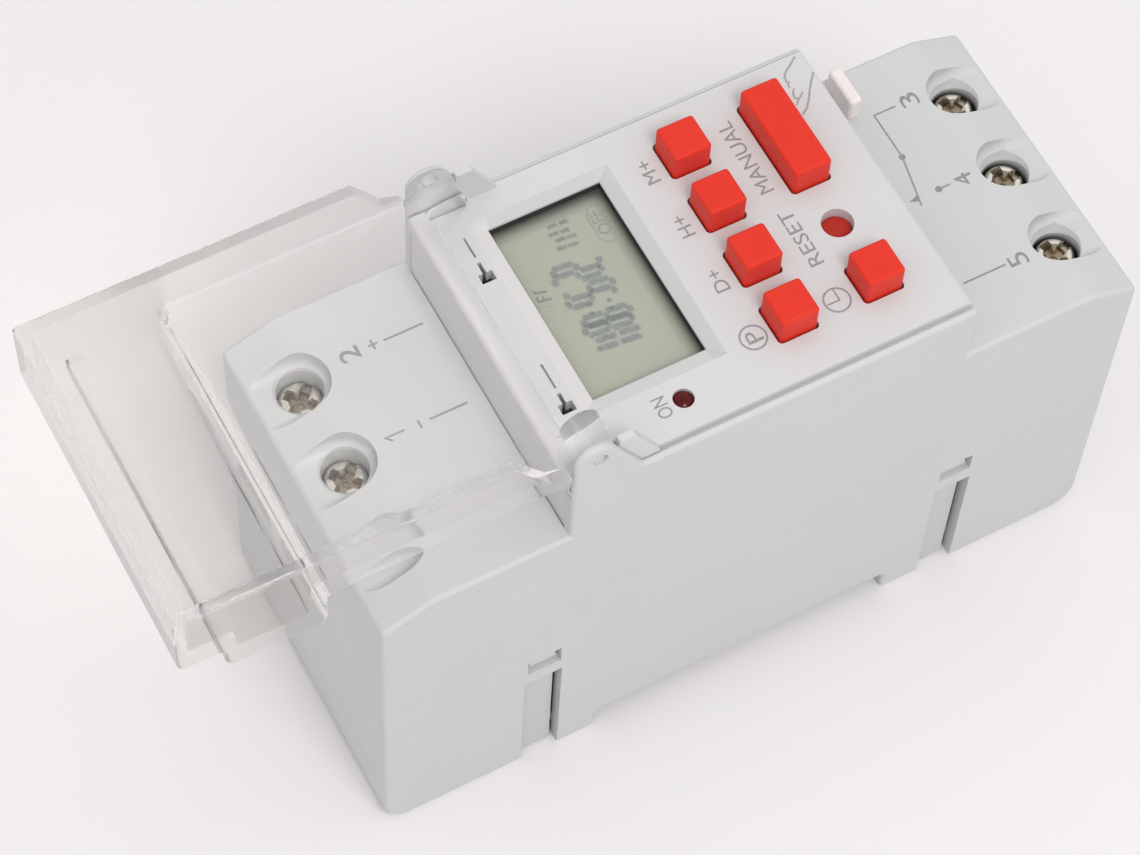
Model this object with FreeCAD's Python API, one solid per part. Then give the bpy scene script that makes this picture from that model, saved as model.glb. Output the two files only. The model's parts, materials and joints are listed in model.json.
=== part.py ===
import FreeCAD, Part
import math
import os

V = FreeCAD.Vector
os.makedirs("parts", exist_ok=True)

# ---------------------------------------------------------------- dimensions
# All in millimetres. While modelling, z = 0 is the plane of the housing's
# feet; every piece is lowered by SEAT at export, so that the row's origin is
# the centre of the plane that the mounting rail bears on.
# X runs along the device, +X towards terminals 3, 4 and 5; +Z is the front.
LEN = 87.0            # housing length
WID = 36.0            # housing width: two 18 mm modules
HX, HY = LEN / 2, WID / 2
SEAT = 3.2            # depth of the rail channel above the feet
RAIL_HALF = 18.2      # half width of the rail channel
Z_END = 45.1          # height of the housing's ends
Z_SH = 47.5           # height of the terminal shoulders
X_CREASE = 37.8       # where the flat shoulder starts to slope
X_NOSE = 22.8         # half length of the nose
Z_RIM = 56.0          # rim of the side walls beside the panel
Z_PANEL = 56.4        # top of the front panel
T_SIDE = 1.5          # side wall
T_END = 1.5           # end wall
T_TOP = 1.6           # shoulder plate

HINGE_X, HINGE_Z = -20.1, 61.1   # cover hinge axis
EAR_R = 2.3
EAR_BACK = 1.86
PIN_R, PIN_BORE_R = 0.75, 0.80
KNUCKLE_R = 2.1
KNUCKLE_0, KNUCKLE_1 = 13.5, 17.2      # each knuckle, from the middle of the width

X_SCREW = 38.5        # terminal screws
PITCH = 10.2
WELL_R = 2.5          # lower well round the screw head
Z_WELL = {-1: 41.2, 1: 42.2}    # its floor, left and right
SCOOP_R = {-1: 3.35, 1: 3.05}   # upper scoop, open towards the end of the housing
SCOOP_AT = {-1: (-0.2, -0.2), 1: (-0.07, 0.35)}     # its centre from the screw's
Y_RIM = 17.4          # inside of the thin rim beside the panel, and of the ears
Y_PANEL = 17.3        # half width of the panel
Z_SCOOP = 45.3
SHANK_R, CAGE_BORE_R = 1.9, 1.95
SCREW_TIP = 33.2
HEAD_R, HEAD_H = 2.4, 2.05
BAR_Z0, BAR_Z1 = 31.9, 33.1
CAGE_Z0, CAGE_Z1 = 25.2, 34.9
ENTRY_Z0, ENTRY_Z1 = 26.3, 32.3   # wire entries in the ends

KEY_W, KEY_L, KEY_H = 4.25, 4.3, 3.25
KEY_GAP = 0.2
KEY_X, CLOCK_X = 5.42, 15.27
Z_FLANGE = 54.05

# clear cover, closed position: heights of the three roof levels
COVER_T = 1.4
Z_CA, Z_CB, Z_CE, Z_CRIM = 63.5, 68.5, 65.2, 56.4
X_CB0, X_CB1, X_CEND = 8.8, 19.4, 24.2

BOARD_Z = 48.0        # display board
MAIN_Z = 18.6         # main board
BOARD_T = 1.6


# ------------------------------------------------------------------- helpers
def box(x0, x1, y0, y1, z0, z1):
    return Part.makeBox(x1 - x0, y1 - y0, z1 - z0, V(x0, y0, z0))


def cyl_z(x, y, r, z0, z1):
    return Part.makeCylinder(r, z1 - z0, V(x, y, z0), V(0, 0, 1))


def cyl_y(x, z, r, y0, y1):
    return Part.makeCylinder(r, y1 - y0, V(x, y0, z), V(0, 1, 0))


def cyl_x(y, z, r, x0, x1):
    return Part.makeCylinder(r, x1 - x0, V(x0, y, z), V(1, 0, 0))


def rounded(points):
    """Closed outline in a plane: points are (a, b) or (a, b, radius)."""
    n = len(points)
    segs = []
    for i in range(n):
        p = points[i]
        q0, q1 = points[i - 1], points[(i + 1) % n]
        r = p[2] if len(p) > 2 else 0.0
        if r <= 0:
            segs.append([(p[0], p[1])])
            continue
        ax, ay = q0[0] - p[0], q0[1] - p[1]
        bx, by = q1[0] - p[0], q1[1] - p[1]
        la, lb = math.hypot(ax, ay), math.hypot(bx, by)
        ax, ay, bx, by = ax / la, ay / la, bx / lb, by / lb
        half = math.acos(max(-1.0, min(1.0, ax * bx + ay * by))) / 2
        t = r / math.tan(half)
        cx, cy = ax + bx, ay + by
        lc = math.hypot(cx, cy)
        d = r / math.sin(half)
        ox, oy = p[0] + cx / lc * d, p[1] + cy / lc * d
        p0 = (p[0] + ax * t, p[1] + ay * t)
        p1 = (p[0] + bx * t, p[1] + by * t)
        pm = (ox - cx / lc * r, oy - cy / lc * r)
        segs.append([p0, pm, p1])
    return segs


def outline_face(points, place):
    segs = rounded(points)
    edges = []
    n = len(segs)
    for i in range(n):
        s = segs[i]
        if len(s) == 3:
            edges.append(Part.Arc(place(*s[0]), place(*s[1]), place(*s[2])).toShape())
        a = place(*s[-1])
        b = place(*segs[(i + 1) % n][0])
        if a.distanceToPoint(b) > 1e-6:
            edges.append(Part.LineSegment(a, b).toShape())
    return Part.Face(Part.Wire(edges))


def prism_y(points, y0, y1):
    return outline_face(points, lambda a, b: V(a, y0, b)).extrude(V(0, y1 - y0, 0))


def prism_z(points, z0, z1):
    return outline_face(points, lambda a, b: V(a, b, z0)).extrude(V(0, 0, z1 - z0))


def prism_x(points, x0, x1):
    return outline_face(points, lambda a, b: V(x0, a, b)).extrude(V(x1 - x0, 0, 0))


def frustum(x0, x1, y0, y1, z0, X0, X1, Y0, Y1, z1):
    """Solid between a rectangle at z0 and a rectangle at z1."""
    def wire(a0, a1, b0, b1, z):
        p = [V(a0, b0, z), V(a1, b0, z), V(a1, b1, z), V(a0, b1, z)]
        return Part.makePolygon(p + [p[0]])
    return Part.makeLoft([wire(x0, x1, y0, y1, z0), wire(X0, X1, Y0, Y1, z1)], True, True)


def fuse(first, *others):
    others = [o for o in others if o is not None]
    if not others:
        return first
    return first.multiFuse(list(others)).removeSplitter()


def cut(shape, *tools):
    return shape.cut(Part.makeCompound(list(tools)))


def bent(a, b, tol=1e-3):
    return abs(a - b) < tol


def export(node, shape, solids=1):
    s = shape.copy()
    s.translate(V(0, 0, -SEAT))
    if not s.isValid():
        print("INVALID", node)
    if len(s.Solids) != solids:
        print("SOLIDS", node, len(s.Solids), "expected", solids)
    if solids == 1:
        s = s.Solids[0]
    s.exportStep("parts/" + node + ".step")


TERMINALS = [           # number, x, y
    (1, -X_SCREW, 0.0),
    (2, -X_SCREW, PITCH),
    (3, X_SCREW, PITCH),
    (4, X_SCREW, 0.0),
    (5, X_SCREW, -PITCH),
]

# ------------------------------------------------------------------- housing
# Side outline, drawn once and extruded across the width: feet, ends, sloped
# and flat shoulders, nose and the two hinge ears.
# The ear's back slopes down at 60 degrees, EAR_BACK from the hinge axis.
slope_x = HINGE_X + EAR_BACK * math.cos(math.radians(30))
slope_z = HINGE_Z + EAR_BACK * math.sin(math.radians(30))
ear_vertex_z = slope_z + (slope_x + X_NOSE) * math.sqrt(3)
ear_foot_x = slope_x + (slope_z - Z_RIM) / math.sqrt(3)
outline = [
    (-HX, 0, 3.0), (-HX, Z_END, 0.8), (-X_CREASE, Z_SH, 3.0), (-X_NOSE, Z_SH),
    (-X_NOSE, ear_vertex_z, EAR_R), (ear_foot_x, Z_RIM), (X_NOSE, Z_RIM, 0.5),
    (X_NOSE, Z_SH), (X_CREASE, Z_SH, 3.0), (HX, Z_END, 0.8), (HX, 0, 3.0),
    (RAIL_HALF, 0, 0.5), (RAIL_HALF, SEAT, 0.8), (-RAIL_HALF, SEAT, 0.8),
    (-RAIL_HALF, 0, 0.5),
]
body = prism_y(outline, -HY, HY)
rim_edges = []
for e in body.Edges:
    bb = e.BoundBox
    if bb.YLength < 1e-4 and abs(abs(bb.YMin) - HY) < 1e-4:
        rim_edges.append(e)
try:
    body = body.makeFillet(0.5, rim_edges)
except Exception as err:
    print("rim fillet left out:", err)

cuts = [
    box(-33.0, 33.0, -HY + T_SIDE, HY - T_SIDE, -5, Z_SH - T_TOP),
    box(-X_NOSE - 0.05, X_NOSE + 0.05, -HY + T_SIDE, HY - T_SIDE, 45, 80),
    cyl_y(HINGE_X, HINGE_Z, PIN_BORE_R, -30, 30),
]
for s in (-1, 1):
    x0, x1 = sorted((s * 32.9, s * (HX - T_END)))
    cuts.append(box(x0, x1, -HY + T_SIDE, HY - T_SIDE, -5, 23.5))
    # side notches for the base's snap arms, and their windows
    for w in (-1, 1):
        y0, y1 = sorted((w * (HY - T_SIDE - 0.1), w * (HY + 1)))
        x0, x1 = sorted((s * 22.8, s * 27.2))
        cuts.append(box(x0, x1, y0, y1, -1, 18.5))
        x0, x1 = sorted((s * 23.0, s * 26.9))
        cuts.append(box(x0, x1, y0, y1, 20.6, 23.4))
# rebate for the panel along the rims
for w in (-1, 1):
    y0, y1 = sorted((w * (HY - T_SIDE - 0.1), w * Y_RIM))
    cuts.append(box(-X_NOSE - 1, X_NOSE + 1, y0, y1, Z_PANEL - 1.7, 80))
for n, x, y in TERMINALS:
    s = 1 if x > 0 else -1
    cuts.append(cyl_z(x, y, WELL_R, Z_WELL[s], 60))
    if s > 0:
        cuts.append(Part.makeCone(2.2, 2.95, 1.05, V(x + SCOOP_AT[s][0], y + SCOOP_AT[s][1], 44.4), V(0, 0, 1)))
    else:
        cuts.append(Part.makeCone(WELL_R, 2.85, 0.35, V(x, y, 45.0), V(0, 0, 1)))
    cuts.append(cyl_z(x, y, SHANK_R + 0.35, 39, 43))
    # cage chamber, wire entry with a stepped mouth, and the bar's slot
    x0, x1 = sorted((s * 34.4, s * (HX - T_END)))
    cuts.append(box(x0, x1, y - 4.3, y + 4.3, 24.9, 40.1))
    x0, x1 = sorted((s * (HX - T_END - 0.5), s * (HX + 1)))
    cuts.append(prism_x([(y - 3.4, ENTRY_Z0, 0.6), (y + 3.4, ENTRY_Z0, 0.6),
                         (y + 3.4, ENTRY_Z1, 1.2), (y - 3.4, ENTRY_Z1, 1.2)], x0, x1))
    x0, x1 = sorted((s * (HX - 0.5), s * (HX + 1)))
    cuts.append(prism_x([(y - 3.8, ENTRY_Z0 - 0.4, 0.9), (y + 3.8, ENTRY_Z0 - 0.4, 0.9),
                         (y + 3.8, ENTRY_Z1 + 0.4, 1.5), (y - 3.8, ENTRY_Z1 + 0.4, 1.5)], x0, x1))
    x0, x1 = sorted((s * 32.0, s * 35.0))
    cuts.append(box(x0, x1, y - 2.8, y + 2.8, BAR_Z0 - 0.15, BAR_Z1 + 0.15))
# pocket that cores the unused position out from below
cuts.append(box(-HX + T_END, -34.4, -PITCH - 4.3, -PITCH + 4.3, 20, 43.0))
# scoops: round at the screw, running out level through the sloped shoulder;
# the sixth one has no screw
for x, y in [(x, y) for n, x, y in TERMINALS] + [(-X_SCREW, -PITCH)]:
    s = 1 if x > 0 else -1
    x, y = x + SCOOP_AT[s][0], y + SCOOP_AT[s][1]
    bowl = cyl_z(x, y, SCOOP_R[s], Z_SCOOP, 60)
    x0, x1 = sorted((x, s * 60))
    ditch = box(x0, x1, y - SCOOP_R[s], y + SCOOP_R[s], Z_SCOOP, 60)
    scoop = fuse(bowl, ditch)
    low = [e for e in scoop.Edges if e.BoundBox.ZMax < Z_SCOOP + 0.01 and e.BoundBox.XLength > 0.5]
    try:
        scoop = scoop.makeFillet(1.2, low)
    except Exception as err:
        print("scoop fillet left out:", err)
    cuts.append(scoop)
# passage of the rail latch under the right end
cuts.append(box(HX - T_END - 1, HX + 1, -6.4, 6.4, -1, 2.7))
housing = cut(body, *cuts)
# sealing nub on the right shoulder
nub = box(26.35, 27.85, 12.2, 17.0, Z_SH - 0.6, 50.6)
nub = nub.makeFillet(0.45, [e for e in nub.Edges if e.BoundBox.ZMin > 50.5 or e.BoundBox.ZLength > 1])
housing = fuse(housing, nub)
export("housing", housing)

# ----------------------------------------------------------------- rear base
pieces = [
    box(-19.6, 19.6, -16.3, 16.3, SEAT + 0.2, SEAT + 1.8),
    box(-15.0, 15.0, -15.0, 15.0, SEAT, SEAT + 0.3),
]
for s in (-1, 1):
    x0, x1 = sorted((s * 18.25, s * 19.8))
    pieces.append(box(x0, x1, -16.3, 16.3, 0.4, SEAT + 1.8))
    x0, x1 = sorted((s * 19.6, s * 41.8))
    pieces.append(box(x0, x1, -16.3, 16.3, 2.6, 4.2))
    for w in (-1, 1):
        # snap arm: it fills the notch, passes behind the bridge and its
        # tooth stands in the window
        x0, x1 = sorted((s * 23.3, s * 26.6))
        y0, y1 = sorted((w * 15.0, w * 17.0))
        pieces.append(box(x0, x1, y0, y1, 0.2, 18.2))
        y0, y1 = sorted((w * 15.0, w * 16.4))
        pieces.append(box(x0, x1, y0, y1, 18.0, 24.2))
        pieces.append(prism_x([(w * 16.2, 20.8), (w * 17.5, 21.2), (w * 17.5, 21.6),
                               (w * 16.6, 23.2), (w * 16.2, 23.2)],
                              min(x0, x1) + 0.1, max(x0, x1) - 0.1))
        # pillar under the main board
        pieces.append(cyl_z(s * 26.0, w * 13.6, 1.7, 3.0, MAIN_Z))
# fixed rail hooks on the left
for w in (-1, 1):
    y0, y1 = sorted((w * 5.0, w * 13.0))
    pieces.append(prism_y([(-18.4, 0.6), (-17.3, 0.6), (-16.7, 1.2), (-16.7, 1.8), (-18.4, 1.8)], y0, y1))
# latch guides on the right
for w in (-1, 1):
    y0, y1 = sorted((w * 6.95, w * 8.2))
    pieces.append(box(19.6, 40.0, y0, y1, 0.6, 2.8))
    y0, y1 = sorted((w * 5.85, w * 7.2))
    pieces.append(box(19.6, 40.0, y0, y1, 0.6, 1.3))
# spring abutment
pieces.append(box(31.0, 32.4, -3.2, 3.2, 4.0, 6.8))
base = fuse(pieces[0], *pieces[1:])
base = cut(base,
           box(17.0, 19.85, -6.9, 6.9, -1, 2.6),      # mouth for the latch nose
           box(21.4, 28.4, -2.7, 2.7, 1, 5))          # slot for the latch post
export("rear_base", base)

# ----------------------------------------------------------------- rail latch
latch = fuse(
    prism_y([(16.7, 1.2), (17.3, 0.6), (44.0, 0.5), (46.0, 0.5, 0.6), (46.0, 2.4, 0.6),
             (18.3, 2.4), (17.6, 1.9), (16.7, 1.9)], -5.6, 5.6),
    box(20.0, 38.4, -6.7, 6.7, 1.5, 2.4),
    box(21.9, 23.0, -2.3, 2.3, 2.2, 6.3),
)
latch = cut(latch, box(44.0, 45.2, -2.4, 2.4, 0, 3))
export("rail_latch", latch)

# spring: a flat wire bent to and fro between the latch's post and the base
sx0, sx1, amp, turns = 23.1, 30.9, 2.2, 4
pts = []
n = turns * 2
xs = [sx0 + 0.4 + (sx1 - sx0 - 0.8) * i / n for i in range(n + 1)]
t = 0.42
left, right = [], []
path = [(sx0, 0.0)]
for i, x in enumerate(xs):
    path.append((x, amp if i % 2 == 0 else -amp))
path.append((sx1, 0.0))


def offset_path(path, d):
    out = []
    for i in range(len(path)):
        if i == 0:
            ax, ay = path[1][0] - path[0][0], path[1][1] - path[0][1]
            la = math.hypot(ax, ay)
            out.append((path[0][0], path[0][1] + d * la / max(ax, 1e-6) * 0.35))
            continue
        if i == len(path) - 1:
            ax, ay = path[-1][0] - path[-2][0], path[-1][1] - path[-2][1]
            la = math.hypot(ax, ay)
            out.append((path[-1][0], path[-1][1] + d * la / max(ax, 1e-6) * 0.35))
            continue
        ax, ay = path[i][0] - path[i - 1][0], path[i][1] - path[i - 1][1]
        bx, by = path[i + 1][0] - path[i][0], path[i + 1][1] - path[i][1]
        la, lb = math.hypot(ax, ay), math.hypot(bx, by)
        n1 = (-ay / la, ax / la)
        n2 = (-by / lb, bx / lb)
        mx, my = n1[0] + n2[0], n1[1] + n2[1]
        lm = math.hypot(mx, my)
        mx, my = mx / lm, my / lm
        k = d / max(0.35, mx * n1[0] + my * n1[1])
        out.append((path[i][0] + mx * k, path[i][1] + my * k))
    return out


zig = offset_path(path, t / 2) + list(reversed(offset_path(path, -t / 2)))
export("latch_spring", prism_z(zig, 4.5, 6.1))

# --------------------------------------------------------------- front panel
plate = box(-22.75, 22.75, -16.4, 16.4, Z_PANEL - 1.6, Z_PANEL)
end_l = prism_y([(-22.75, 46.0), (-22.75, Z_PANEL, 0.7), (-21.25, Z_PANEL), (-21.25, 46.0)], -16.4, 16.4)
end_r = prism_y([(22.75, 46.0), (22.75, Z_PANEL, 0.7), (21.25, Z_PANEL), (21.25, 46.0)], -16.4, 16.4)
# corners of the plate outside the rounded ends are trimmed with the same outline
nose_env = prism_y([(-22.75, 40.0), (-22.75, Z_PANEL, 0.7), (22.75, Z_PANEL, 0.7), (22.75, 40.0)], -Y_PANEL, Y_PANEL)
walls = fuse(end_l, end_r, box(-22.75, 22.75, -Y_PANEL, Y_PANEL, Z_PANEL - 1.6, Z_PANEL))
# a shallow groove along the near rim, hardly a step along the far one
bev = [
    prism_x([(-17.6, Z_PANEL - 0.9), (-17.0, Z_PANEL - 0.9, 0.12), (-16.88, Z_PANEL),
             (-16.88, Z_PANEL + 0.5), (-17.6, Z_PANEL + 0.5)], -23, 23),
    prism_x([(17.6, Z_RIM), (Y_PANEL, Z_RIM), (17.12, Z_PANEL), (17.12, Z_PANEL + 0.5), (17.6, Z_PANEL + 0.5)], -23, 23),
]
panel = fuse(plate, walls).common(nose_env)
panel = cut(panel, *bev)
adds = []
for s in (-1, 1):
    for w in (-1, 1):
        # hooks that catch under the shoulder plate
        x0, x1 = sorted((s * 21.25, s * 22.75))
        y0, y1 = sorted((w * 5.0, w * 9.0))
        adds.append(box(x0, x1, y0, y1, 44.5, 46.2))
        adds.append(prism_y([(s * 22.6, 44.5), (s * 22.75, 44.5), (s * 23.4, 45.4),
                             (s * 23.4, 45.75), (s * 22.6, 45.75)], y0, y1))
for w in (-1, 1):
    y0, y1 = sorted((w * 16.5, w * Y_PANEL))
    adds.append(prism_y([(-17.7, Z_PANEL - 1.2), (-17.7, 61.4, 0.3), (-15.9, 61.4, 0.5), (-13.0, Z_PANEL - 0.1),
                         (-13.0, Z_PANEL - 1.2)], y0, y1))
POSTS = [(1.3, -14.8), (1.3, 14.9), (19.4, -14.6), (19.4, 14.9), (-19.6, -14.6)]
for x, y in POSTS:
    adds.append(cyl_z(x, y, 1.4, BOARD_Z + BOARD_T, Z_PANEL - 1.0))
panel = fuse(panel, *adds)
LCD_X0, LCD_X1, LCD_Y0, LCD_Y1 = -15.87, -3.17, -9.0, 13.08
holes = [
    box(LCD_X0, LCD_X1, LCD_Y0, LCD_Y1, 50, 60),
    box(LCD_X0 - 0.55, LCD_X1 + 0.55, LCD_Y0 - 0.55, LCD_Y1 + 0.55, 50, 54.92),
    frustum(LCD_X0, LCD_X1, LCD_Y0, LCD_Y1, Z_PANEL - 1.2,
            -17.8, -1.95, -10.95, 13.9, Z_PANEL + 0.001),
    cyl_z(-8.27, -13.42, 1.1, 50, 60),
    cyl_z(15.31, -2.79, 1.70, 50, 60),
]
# two snap slots beside the hinge, each with a narrow tail and, past it, a shallow slit
for y, tail, y0, y1 in ((-9.18, -7.4, -6.75, -3.7), (7.52, 9.4, 10.1, 12.6)):
    holes.append(box(-19.6, -18.05, y - 0.57, y + 0.57, 50, 60))
    holes.append(box(-19.05, -18.65, y, tail, 50, 60))
    holes.append(box(-18.95, -18.70, y0, y1, Z_PANEL - 0.5, 60))
SQUARE_KEYS = [("minute_key", KEY_X, 11.45), ("hour_key", KEY_X, 4.25), ("day_key", KEY_X, -2.95),
               ("program_key", KEY_X, -10.15), ("clock_key", CLOCK_X, -10.05)]
for node, x, y in SQUARE_KEYS:
    a, b = KEY_W / 2 + KEY_GAP, KEY_L / 2 + KEY_GAP
    holes.append(prism_z([(x - a, y - b, .5), (x + a, y - b, .5), (x + a, y + b, .5), (x - a, y + b, .5)], 50, 60))
a, b = 2.12 + KEY_GAP, 5.75 + KEY_GAP
holes.append(prism_z([(CLOCK_X - a, 8.0 - b, .5), (CLOCK_X + a, 8.0 - b, .5),
                      (CLOCK_X + a, 8.0 + b, .5), (CLOCK_X - a, 8.0 + b, .5)], 50, 60))
for x, y in POSTS:
    holes.append(cyl_z(x, y, 0.8, 49, 53.6))
panel = cut(panel, *holes)
export("front_panel", panel)


# ---------------------------------------------------------------------- keys
def key(x, y, w, l):
    a, b = w / 2, l / 2
    zt = Z_PANEL + KEY_H
    cap = box(x - a, x + a, y - b, y + b, Z_FLANGE, zt)
    # upright and top edges are rounded alike
    cap = cap.makeFillet(0.42, [e for e in cap.Edges if e.BoundBox.ZMax > zt - 0.01])
    flange = box(x - a - 0.5, x + a + 0.5, y - b - 0.5, y + b + 0.5, Z_FLANGE, Z_FLANGE + 0.6)
    stem = cyl_z(x, y, 1.4, 53.6, Z_FLANGE + 0.1)
    return fuse(cap, flange, stem)


for node, x, y in SQUARE_KEYS:
    export(node, key(x, y, KEY_W, KEY_L))
export("manual_key", key(CLOCK_X, 8.0, 4.24, 11.5))
reset = fuse(cyl_z(15.31, -2.79, 1.61, Z_FLANGE, 55.1),
             cyl_z(15.31, -2.79, 2.4, Z_FLANGE, Z_FLANGE + 0.6),
             cyl_z(15.31, -2.79, 1.4, 53.6, Z_FLANGE + 0.1))
export("reset_key", reset)

# ------------------------------------------------------------------- display
export("lcd_gasket", cut(
    fuse(box(-18.9, -0.8, -11.6, 15.4, 53.85, 54.75),
         box(LCD_X0 - 0.5, LCD_X1 + 0.5, LCD_Y0 - 0.5, LCD_Y1 + 0.5, 54.0, 54.88)),
    box(LCD_X0 - 0.12, LCD_X1 + 0.12, LCD_Y0 - 0.12, LCD_Y1 + 0.12, 53, 56)))
export("lcd_glass", fuse(box(-18.5, -1.2, -11.2, 15.0, 51.8, 52.85),
                         box(-17.2, -1.2, -11.2, 15.0, 52.8, 53.8)))
export("lcd_holder", cut(box(-19.4, -0.4, -11.75, 15.6, 49.6, 53.7),
                         box(-18.6, -1.1, -11.3, 15.1, 51.8, 55),
                         box(-18.1, -1.6, -10.8, 14.6, 49, 53)))
export("zebra_strips", Part.makeCompound([box(-17.9, -16.3, -10.5, 14.3, 49.6, 51.8),
                                          box(-3.4, -1.8, -10.5, 14.3, 49.6, 51.8)]), 2)
LINK_X, LINK_Y = -17.5, [-6.35 + 2.54 * i for i in range(6)]
board = box(-21.0, 21.0, -16.1, 16.1, BOARD_Z, BOARD_Z + BOARD_T)
board = cut(board, *([cyl_z(x, y, 1.0, 40, 55) for x, y in POSTS]
                     + [cyl_z(LINK_X, y, 0.5, 40, 55) for y in LINK_Y]))
export("display_board", board)
SWITCHES = [(x, y) for _, x, y in SQUARE_KEYS] + [(CLOCK_X, 8.0), (15.31, -2.79)]
export("tact_switches", Part.makeCompound(
    [fuse(box(x - 2.25, x + 2.25, y - 2.25, y + 2.25, 49.6, 52.5), cyl_z(x, y, 1.2, 52.4, 53.0))
     for x, y in SWITCHES]), 7)
# a plain rod behind the hole, with a shallow dome
lens = fuse(cyl_z(-8.27, -13.42, 1.4, 49.6, 50.6), cyl_z(-8.27, -13.42, 1.06, 50.0, 57.0))
lens = lens.common(fuse(Part.makeSphere(1.473, V(-8.27, -13.42, 54.977)), cyl_z(-8.27, -13.42, 2.0, 49.0, 55.0)))
export("status_led", lens)
export("board_screws", Part.makeCompound(
    [fuse(cyl_z(x, y, 1.5, 47.2, 48.0), cyl_z(x, y, 0.75, 47.9, 53.2)) for x, y in POSTS]), 5)
chip = [box(3.5, 12.5, -1.5, 7.5, 46.4, 47.8)]
for i in range(8):
    u = -1.5 + 0.95 + i * 1.02
    chip.append(box(2.6, 3.8, u - 0.2, u + 0.2, 47.6, 48.0))
    chip.append(box(12.2, 13.4, u - 0.2, u + 0.2, 47.6, 48.0))
export("clock_chip", fuse(chip[0], *chip[1:]))
can = cyl_y(8.0, 46.4, 1.4, -13.0, -5.5)
export("crystal", fuse(can, box(7.2, 7.6, -5.7, -4.6, 46.2, 48.0), box(8.4, 8.8, -5.7, -4.6, 46.2, 48.0)))
export("backup_battery", fuse(cyl_z(-7.5, 2.0, 6.0, 43.0, 47.2), box(-9.0, -6.0, 7.0, 9.6, 47.0, 48.0),
                              box(-9.0, -6.0, -5.6, -3.0, 47.0, 48.0)))
link = [box(LINK_X - 1.25, LINK_X + 1.25, -7.6, 7.6, 45.4, 48.0),
        box(LINK_X - 1.25, LINK_X + 1.25, -7.6, 7.6, MAIN_Z + BOARD_T, MAIN_Z + BOARD_T + 2.5)]
for y in LINK_Y:
    link.append(box(LINK_X - 0.32, LINK_X + 0.32, y - 0.32, y + 0.32, 17.4, 49.6))
export("board_link", fuse(link[0], *link[1:]))

# ---------------------------------------------------------------- main board
main = box(-31.5, 31.5, -15.8, 15.8, MAIN_Z, MAIN_Z + BOARD_T)
slots = [cyl_z(LINK_X, y, 0.5, 10, 25) for y in LINK_Y]
for n, x, y in TERMINALS:
    s = 1 if x > 0 else -1
    x0, x1 = sorted((s * 28.85, s * 30.35))
    slots.append(box(x0, x1, y - 1.7, y + 1.7, 10, 25))
for s in (-1, 1):          # clearance notches for the base's snap arms
    for w in (-1, 1):
        x0, x1 = sorted((s * 22.9, s * 27.0))
        y0, y1 = sorted((w * 14.8, w * 17.0))
        slots.append(box(x0, x1, y0, y1, 10, 25))
export("main_board", cut(main, *slots))
mz = MAIN_Z + BOARD_T
cap = cyl_z(-10.5, -9.6, 5.0, mz + 0.3, mz + 16.3)
cap = cap.makeFillet(0.6, [e for e in cap.Edges if abs(e.BoundBox.ZMin - e.BoundBox.ZMax) < 1e-6])
export("filter_capacitor", fuse(cap, cyl_z(-10.5, -12.1, 0.35, mz, mz + 1), cyl_z(-10.5, -7.1, 0.35, mz, mz + 1)))
res = []
for y in (9.6, 13.0):
    r = cyl_x(y, mz + 2.4, 1.6, -26.0, -14.0)
    res.append(fuse(r, cyl_x(y, mz + 2.4, 0.4, -28.0, -12.0),
                    cyl_z(-27.7, y, 0.4, mz, mz + 2.4), cyl_z(-12.3, y, 0.4, mz, mz + 2.4)))
export("dropper_resistors", Part.makeCompound(res), 2)
var = cyl_x(-9.5, mz + 6.6, 5.0, -26.8, -23.0)
export("varistor", fuse(var, box(-26.2, -25.6, -12.4, -11.6, mz, mz + 4), box(-24.2, -23.6, -7.4, -6.6, mz, mz + 4)))

# --------------------------------------------------------------------- relay
RX0, RX1, RY = -4.0, 20.5, 13.0
export("relay_base", fuse(box(RX0, RX1, -RY, RY, mz, mz + 1.6), box(RX0 + 1.1, RX1 - 1.1, -RY + 1.1, RY - 1.1, mz + 1.5, mz + 2.4)))
rz = mz + 2.4
coil = fuse(cyl_z(4.0, -1.0, 7.0, rz, rz + 0.9), cyl_z(4.0, -1.0, 6.0, rz + 0.8, rz + 12.4),
            cyl_z(4.0, -1.0, 7.0, rz + 12.2, rz + 13.0), cyl_z(4.0, -1.0, 2.0, rz + 12.8, rz + 13.7))
export("relay_coil", coil)
export("relay_yoke", box(12.0, 13.2, -7.0, 5.0, rz, rz + 14.4))
AX_X, AX_Z = 12.6, rz + 15.0          # armature's rocking axis on the yoke's edge
arm = fuse(box(-2.0, 11.6, -7.0, 5.0, rz + 14.9, rz + 15.9),
           box(11.4, 14.8, -7.0, 11.0, rz + 15.0, rz + 15.9),
           box(13.8, 14.8, 6.5, 10.5, rz + 3.4, rz + 15.2),
           cyl_y(AX_X, AX_Z, 0.45, -7.0, 5.0))
export("relay_armature", arm)
export("relay_contacts", Part.makeCompound([
    fuse(box(12.1, 12.9, 6.5, 10.5, rz, rz + 7.0), cyl_x(8.5, rz + 5.2, 1.2, 12.8, 13.35)),
    fuse(box(16.1, 16.9, 6.5, 10.5, rz, rz + 7.0), cyl_x(8.5, rz + 5.2, 1.2, 15.75, 16.2))]), 2)
export("relay_case", cut(box(RX0, RX1, -RY, RY, mz + 1.65, rz + 18.4),
                         box(RX0 + 1.0, RX1 - 1.0, -RY + 1.0, RY - 1.0, mz, rz + 17.4)))

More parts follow.
